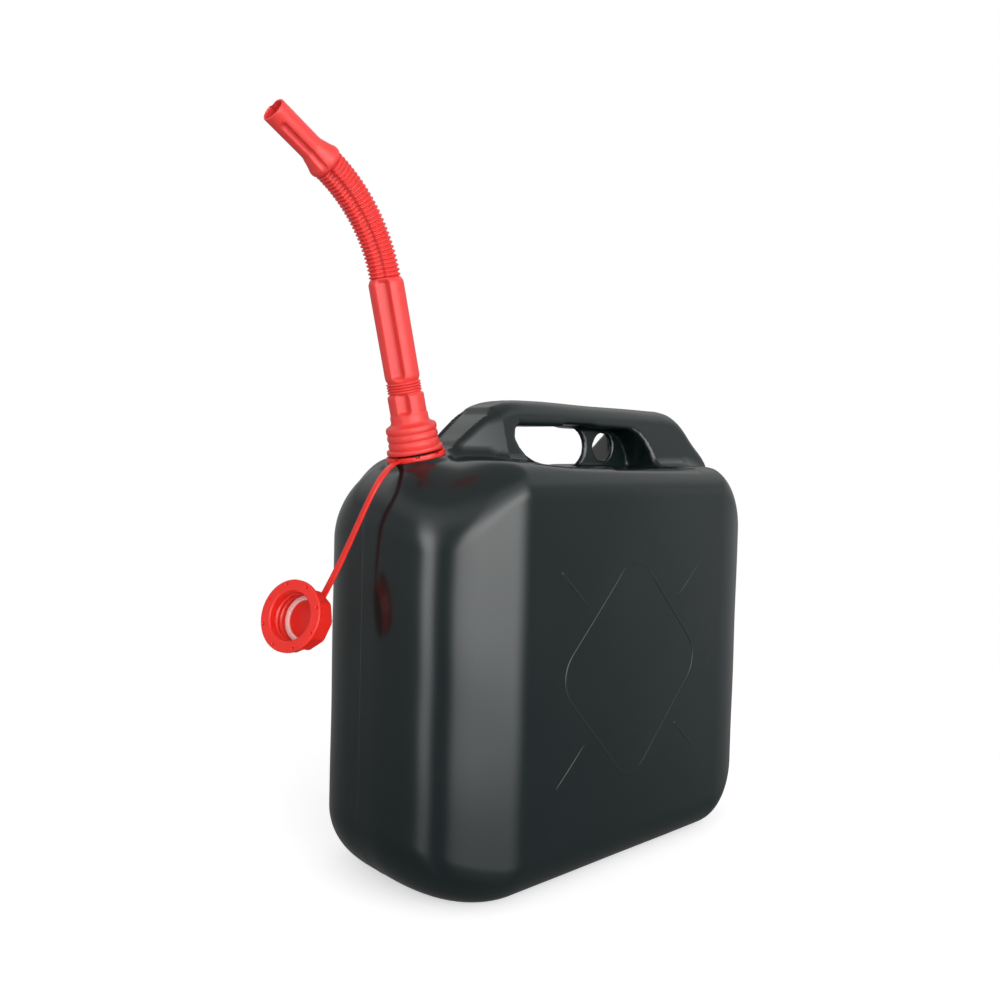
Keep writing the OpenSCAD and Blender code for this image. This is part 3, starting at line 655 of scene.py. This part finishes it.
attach(tether, "tether_ring")
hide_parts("tether")

# The cap: a screw cap moulded in the same full red, with ten grip flats, a wide flange at its open
# end with eight small sockets in its face, an inner thread, and a button on its back.

CAP_H, SKIRT, INSIDE = 17.0, 17.3, 14.4
FLANGE_R, SOCKETS_AT, CAP_PITCH = 21.1, 19.0, 3.9
LUG_TURN = math.radians(115)


def cap_shape(turn, r, z):
    """Ten flats round the skirt, where the radius grows towards each corner, a thread rib that climbs
    inside by its pitch each turn, and eight sockets in the flange's face, sunk round their centres."""
    part = (turn + math.pi / 10) % (math.pi / 5) - math.pi / 10
    flat = np.minimum(SKIRT / np.cos(part), SKIRT + 0.62)
    outside = (z < CAP_H - 2.3) & (r > 15) & (z > -0.1)
    r = np.where(outside, r - SKIRT + flat, r)
    rise = (z / CAP_PITCH - turn / (2 * math.pi)) % 1.0
    rib = np.clip(2.2 * (0.5 + 0.5 * np.cos(2 * math.pi * (rise - 0.5))) - 1.2, 0, 1)
    inside = (np.abs(r - INSIDE) < 0.05) & (z > 3)
    r = np.where(inside, r - 1.1 * rib * ease(4.0, 5.2, z) * ease(13.4, 12.2, z), r)
    near = (turn - math.radians(20) + math.pi / 8) % (math.pi / 4) - math.pi / 8
    away = np.hypot(r - SOCKETS_AT, r * near)
    z = np.where((z > CAP_H - 0.05) & (r > 15), z - 1.6 * ease(0.85, 0.5, away), z)
    return r, z


cap_rows = [(0.3, 2.0), (8, 2.0), (13.6, 2.0), (14.2, 2.2), (INSIDE, 2.6)]
cap_rows += [(INSIDE, h) for h in np.linspace(3.2, 16.0, 40)]
cap_rows += [(14.5, 16.6), (14.9, 16.92), (15.4, CAP_H), (17.0, CAP_H)]
cap_rows += [(r, CAP_H) for r in np.linspace(17.9, 20.1, 15)]
cap_rows += [(20.5, CAP_H), (20.85, 16.9), (FLANGE_R, 16.6), (FLANGE_R, 15.2), (20.85, 14.85), (20.5, 14.75),
             (18.4, 14.75), (17.6, 14.6)]
cap_rows += [(SKIRT, h) for h in (14.2, 11, 8, 5, 2.5, 1.2)]
cap_rows += [(17.35, 0.55), (16.9, 0.15), (16.3, 0.0), (8, 0.0), (0.3, 0.0)]
cap_body = from_cap(turned(cap_rows, 360, cap_shape))
button_rows = [(0.2, -3.6), (2.5, -3.55), (3.9, -3.4), (4.25, -3.1), (4.3, -2.5), (4.1, -2.32), (3.0, -2.3),
               (2.8, -2.2), (2.8, 0.8), (0.2, 0.8)]
button = from_cap(turned(button_rows, 48))
lug = np.array([[sx * (3.5 - e), 17.55 + sy * (2.8 - e), h]
                for h, e in ((11, 0.5), (11.3, 0.1), (11.6, 0), (15.5, 0))
                for sx, sy in ((1, -1), (1, 1), (-1, 1), (-1, -1))]).reshape(4, 4, 3)
c, s = math.cos(LUG_TURN), math.sin(LUG_TURN)
lug = np.stack([lug[..., 0] * c - lug[..., 1] * s, lug[..., 0] * s + lug[..., 1] * c, lug[..., 2]], -1)
cap = shells("screw_cap", [(cap_body[::-1], False), (button, False), (from_cap(lug), False)])
cap.data.materials.append(full_red)
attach(cap, "hanging_cap")
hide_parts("cap")

# The seal: a flat ring of pale pink foam, cut from sheet and pressed into the closed end of the cap,
# where the neck's rim meets it. It turns with the cap.

seal = shells("seal_ring", [(from_cap(turned(rounded(11.2, 14.3, 2.05, 3.6, 0.45), 128)), True)])
foam = procedural("seal_foam", (0.9, 0.60, 0.58), 0.6, grain=0.00004, grain_size=1500, mottle=0.04)
seal.data.materials.append(foam)
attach(seal, "hanging_cap")
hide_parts("cap_seal")

# The studio: a white floor that runs into a white background, and soft boxes painted in the world
# by their bearing and height. Their gaps and edges are what the satin can mirrors.

# Stops of (angle in degrees, brightness).
BOX_BEARINGS = [(-180, 0.04), (-171, 0.04), (-166, 1.0), (-159, 1.0), (-155, 0.0), (-138, 0.0), (-131, 0.85),
                (-112, 1.0), (-66, 0.92), (-53, 0.03), (-44, 0.01), (-35, 0.08), (8, 0.05), (22, 0.01),
                (110, 0.03), (150, 0.05)]
BOX_HEIGHTS = [(-60, 0.0), (-38, 0.03), (-28, 0.07), (-20, 0.24), (-12, 0.66), (-4, 0.92), (12, 1.1),
               (24, 0.45), (36, 0.08), (60, 0.0)]
OVERHEAD_HEIGHTS = [(-20, 0.0), (20, 0.08), (34, 0.42), (44, 0.38), (56, 0.16), (90, 0.16)]
BOX_LIGHT, OVERHEAD_LIGHT, ROOM_LIGHT, FLOOR_LIFT = 5.0, 1.7, 0.13, 0.5
FADE_FROM, FADE_TO = 0.24, 0.5      # metres from the can over which the floor turns into background
FLOOR_HALF = 6000


def ramp(tree, value, low, high, stops, name):
    """A value turned into another by stops of (input, output), straight between them."""
    scale = tree.nodes.new("ShaderNodeMapRange")
    scale.inputs["From Min"].default_value, scale.inputs["From Max"].default_value = low, high
    tree.links.new(value, scale.inputs["Value"])
    curve = tree.nodes.new("ShaderNodeValToRGB")
    curve.name = name
    marks = curve.color_ramp.elements
    for at, out in stops[:-2]:
        marks.new((at - low) / (high - low))
    for mark, (at, out) in zip(marks, stops):
        mark.position, mark.color = (at - low) / (high - low), (out, out, out, 1)
    tree.links.new(scale.outputs["Result"], curve.inputs["Fac"])
    return curve.outputs["Color"]


def arithmetic(tree, kind, a, b=None):
    """One step of arithmetic on two node outputs or numbers."""
    node = tree.nodes.new("ShaderNodeMath")
    node.operation = kind
    for socket, value in zip(node.inputs, (a, b)):
        if isinstance(value, (int, float)):
            socket.default_value = value
        elif value is not None:
            tree.links.new(value, socket)
    return node.outputs[0]


world = bpy.data.worlds.new("studio")
bpy.context.scene.world = world
world.use_nodes = True
tree = world.node_tree
way = tree.nodes.new("ShaderNodeSeparateXYZ")
tree.links.new(tree.nodes.new("ShaderNodeTexCoord").outputs["Generated"], way.inputs[0])
bearing = arithmetic(tree, "DEGREES", arithmetic(tree, "ARCTAN2", way.outputs["Y"], way.outputs["X"]))
height = arithmetic(tree, "DEGREES", arithmetic(tree, "ARCSINE", way.outputs["Z"]))
boxes = ramp(tree, bearing, -180, 180, BOX_BEARINGS, "boxes by bearing")
heights = ramp(tree, height, -90, 90, BOX_HEIGHTS, "boxes by height")
overhead = ramp(tree, height, -90, 90, OVERHEAD_HEIGHTS, "overhead sheet")
lit = arithmetic(tree, "MULTIPLY", arithmetic(tree, "MULTIPLY", boxes, heights), BOX_LIGHT)
lit = arithmetic(tree, "ADD", lit, arithmetic(tree, "MULTIPLY", overhead, OVERHEAD_LIGHT))
lit = arithmetic(tree, "ADD", lit, ROOM_LIGHT)
seen = tree.nodes.new("ShaderNodeLightPath").outputs["Is Camera Ray"]
lit = arithmetic(tree, "MULTIPLY", lit, arithmetic(tree, "SUBTRACT", 1.0, seen))
tree.links.new(arithmetic(tree, "ADD", lit, seen), tree.nodes["Background"].inputs["Strength"])
tree.nodes["Background"].inputs["Color"].default_value = (1, 1, 1, 1)

floor_corners = [(sx * FLOOR_HALF, sy * FLOOR_HALF, 0) for sx, sy in ((-1, -1), (1, -1), (1, 1), (-1, 1))]
floor = put_mesh("floor", floor_corners, [[0, 1, 2, 3]], False)
white = bpy.data.materials.new("studio_white")
white.use_nodes = True
tree = white.node_tree
paper = tree.nodes["Principled BSDF"]
paper.inputs["Base Color"].default_value = (0.9, 0.9, 0.9, 1)
paper.inputs["Roughness"].default_value = 0.95
paper.inputs["Specular IOR Level"].default_value = 0.1
glow = tree.nodes.new("ShaderNodeEmission")
spot = tree.nodes.new("ShaderNodeVectorMath")
spot.operation = "LENGTH"
tree.links.new(tree.nodes.new("ShaderNodeTexCoord").outputs["Object"], spot.inputs[0])
path = tree.nodes.new("ShaderNodeLightPath")
far = ramp(tree, spot.outputs["Value"], 0.0, 1.0, [(FADE_FROM, 0.0), (FADE_TO, 1.0)], "fade to background")
fade, open_floor = tree.nodes.new("ShaderNodeMixShader"), tree.nodes.new("ShaderNodeMixShader")
tree.links.new(arithmetic(tree, "MULTIPLY", far, path.outputs["Is Camera Ray"]), fade.inputs["Fac"])
lift = tree.nodes.new("ShaderNodeEmission")
tree.links.new(arithmetic(tree, "MULTIPLY", path.outputs["Is Camera Ray"], FLOOR_LIFT), lift.inputs["Strength"])
both = tree.nodes.new("ShaderNodeAddShader")
tree.links.new(paper.outputs["BSDF"], both.inputs[0])
tree.links.new(lift.outputs["Emission"], both.inputs[1])
tree.links.new(both.outputs["Shader"], fade.inputs[1])
tree.links.new(glow.outputs["Emission"], fade.inputs[2])
tree.links.new(path.outputs["Is Glossy Ray"], open_floor.inputs["Fac"])
tree.links.new(fade.outputs["Shader"], open_floor.inputs[1])
tree.links.new(tree.nodes.new("ShaderNodeBsdfTransparent").outputs["BSDF"], open_floor.inputs[2])
tree.links.new(open_floor.outputs["Shader"], tree.nodes["Material Output"].inputs["Surface"])
floor.data.materials.append(white)

# The camera stands where the photographer's did, fitted to the can's edges in the photo.
FOCAL_SHARE, SENSOR = 960.37 / 1000, 36      # focal length over the picture's width
CAMERA_AT = np.array([-0.4863, -0.4721, 0.2657])
YAW, PITCH, ROLL = math.radians(42.695), math.radians(2.442), math.radians(1.51)
camera_data = bpy.data.cameras.new("camera")
camera_data.lens, camera_data.sensor_width = SENSOR * FOCAL_SHARE, SENSOR
camera = bpy.data.objects.new("camera", camera_data)
bpy.context.scene.collection.objects.link(camera)
ahead = np.array([math.sin(YAW) * math.cos(PITCH), math.cos(YAW) * math.cos(PITCH), -math.sin(PITCH)])
level = np.array([math.cos(YAW), -math.sin(YAW), 0])
above = np.cross(level, ahead)
right = math.cos(ROLL) * level + math.sin(ROLL) * above
up = -math.sin(ROLL) * level + math.cos(ROLL) * above
camera.matrix_world = Matrix([[right[i], up[i], -ahead[i], CAMERA_AT[i]] for i in range(3)] + [[0, 0, 0, 1]])
camera_data.clip_start = 0.02
bpy.context.scene.camera = camera
bpy.context.scene.view_settings.view_transform = "Standard"
